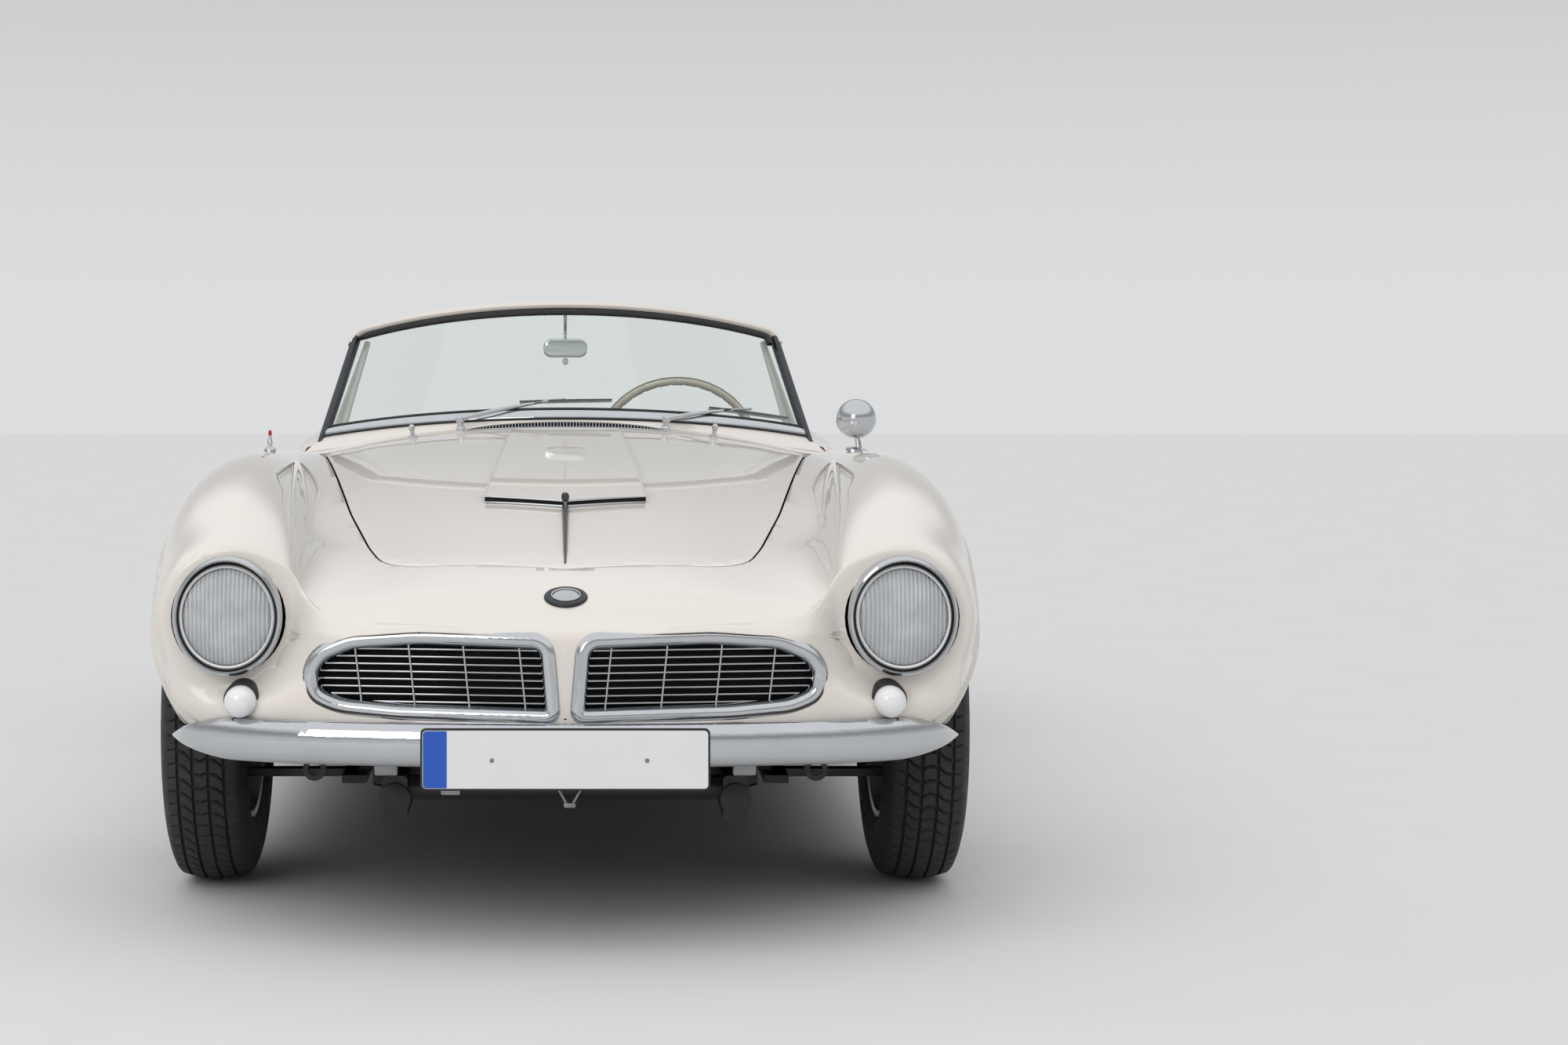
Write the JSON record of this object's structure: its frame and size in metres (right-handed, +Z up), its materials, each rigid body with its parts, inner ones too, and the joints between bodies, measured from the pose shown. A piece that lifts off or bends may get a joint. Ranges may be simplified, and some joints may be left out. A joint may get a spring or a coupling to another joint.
{
  "type": "roadster convertible",
  "caption": "Open two-seat roadster with twin grilles, opening doors, bonnet and boot lid, steered front wheels and a hand wheel coupled to them",
  "frame": {"origin": "on the ground at mid length, on the centre plane", "axes": "+Z up, the front faces -Y, +X is the car's left, the driver's side"},
  "size_m": [1.647, 4.38, 1.229],
  "materials": {
    "body_paint": "gloss",
    "black_paint": "satin",
    "dash_paint": "gloss",
    "chrome": "polished",
    "grille_metal": "satin",
    "clear_glass": "polished",
    "lamp_glass": "fluted",
    "red_lens": "fluted",
    "seat_leather": "satin",
    "ivory_plastic": "gloss",
    "plate_white": "gloss",
    "steel": "satin",
    "iron": "matt",
    "aluminium": "cast",
    "wheel_metal": "satin",
    "tyre": "matt"
  },
  "bodies": {
    "car_body": {"front_body": "body_paint", "tail_body": "body_paint", "sills": "body_paint", "cabin_floor": "black_paint", "inner_wings": "black_paint", "boot_floor": "black_paint", "windscreen_frame": "chrome", "windscreen_glass": "clear_glass", "dashboard": "dash_paint", "steering_column": "black_paint", "seats": "seat_leather", "grille_surrounds": "chrome", "grille_slats": "grille_metal", "headlamp_rims": "chrome", "headlamp_lenses": "lamp_glass", "indicator_lamps": "lamp_glass", "side_vents": "grille_metal", "front_bumper": "chrome", "rear_bumper": "chrome", "number_plates": "plate_white", "tail_lamps": "red_lens", "wing_mirror": "chrome", "cabin_mirror": "chrome", "aerial": "chrome", "wipers": "chrome", "front_frame": "black_paint", "side_rails": "black_paint", "rear_frame": "black_paint", "front_suspension": "steel", "rear_axle": "iron", "engine_and_gearbox": "aluminium", "radiator": "black_paint", "exhaust": "steel"},
    "bonnet_panel": {"bonnet": "body_paint", "bonnet_trim": "chrome"},
    "boot_panel": {"boot_lid": "body_paint"},
    "left_door": {"door_left": "body_paint"},
    "right_door": {"door_right": "body_paint"},
    "hand_wheel": {"steering_wheel": "ivory_plastic"},
    "left_knuckle": {"knuckle_left": "steel"},
    "right_knuckle": {"knuckle_right": "steel"},
    "wheel_front_left": {"rim_fl": "wheel_metal", "tyre_fl": "tyre"},
    "wheel_front_right": {"rim_fr": "wheel_metal", "tyre_fr": "tyre"},
    "wheel_rear_left": {"rim_rl": "wheel_metal", "tyre_rl": "tyre"},
    "wheel_rear_right": {"rim_rr": "wheel_metal", "tyre_rr": "tyre"}
  },
  "joints": [
    {"name": "steer_left", "type": "hinge", "parent": "car_body", "child": "left_knuckle", "pos_m": [0.695, -1.38, 0.345], "axis": [0, 0, 1], "range_deg": [-28, 28]},
    {"name": "steer_right", "type": "hinge", "parent": "car_body", "child": "right_knuckle", "pos_m": [-0.695, -1.38, 0.345], "axis": [0, 0, 1], "range_deg": [-28, 28]},
    {"name": "steering_wheel_turn", "type": "hinge", "parent": "car_body", "child": "hand_wheel", "pos_m": [0.298, 0.24, 0.836], "axis": [0, 0.9063, 0.4226], "range_deg": [-450, 450]},
    {"name": "roll_front_left", "type": "hinge", "parent": "left_knuckle", "child": "wheel_front_left", "pos_m": [0.7225, -1.38, 0.345], "axis": [1, 0, 0], "continuous": true},
    {"name": "roll_front_right", "type": "hinge", "parent": "right_knuckle", "child": "wheel_front_right", "pos_m": [-0.7225, -1.38, 0.345], "axis": [1, 0, 0], "continuous": true},
    {"name": "roll_rear_left", "type": "hinge", "parent": "car_body", "child": "wheel_rear_left", "pos_m": [0.7125, 1.1, 0.345], "axis": [1, 0, 0], "continuous": true},
    {"name": "roll_rear_right", "type": "hinge", "parent": "car_body", "child": "wheel_rear_right", "pos_m": [-0.7125, 1.1, 0.345], "axis": [1, 0, 0], "continuous": true},
    {"name": "door_left_swing", "type": "hinge", "parent": "car_body", "child": "left_door", "pos_m": [0.79, -0.12, 0.5], "axis": [0, 0, -1], "range_deg": [0, 65]},
    {"name": "door_right_swing", "type": "hinge", "parent": "car_body", "child": "right_door", "pos_m": [-0.79, -0.12, 0.5], "axis": [0, 0, 1], "range_deg": [0, 65]},
    {"name": "bonnet_lift", "type": "hinge", "parent": "car_body", "child": "bonnet_panel", "pos_m": [0, -0.39, 0.913], "axis": [-1, 0, 0], "range_deg": [0, 50]},
    {"name": "boot_lid_lift", "type": "hinge", "parent": "car_body", "child": "boot_panel", "pos_m": [0, 1.015, 0.872], "axis": [1, 0, 0], "range_deg": [0, 55]}
  ],
  "couplings": [
    {"joint": "steer_right", "follows": "steer_left", "ratio": 1},
    {"joint": "steering_wheel_turn", "follows": "steer_left", "ratio": 16}
  ]
}
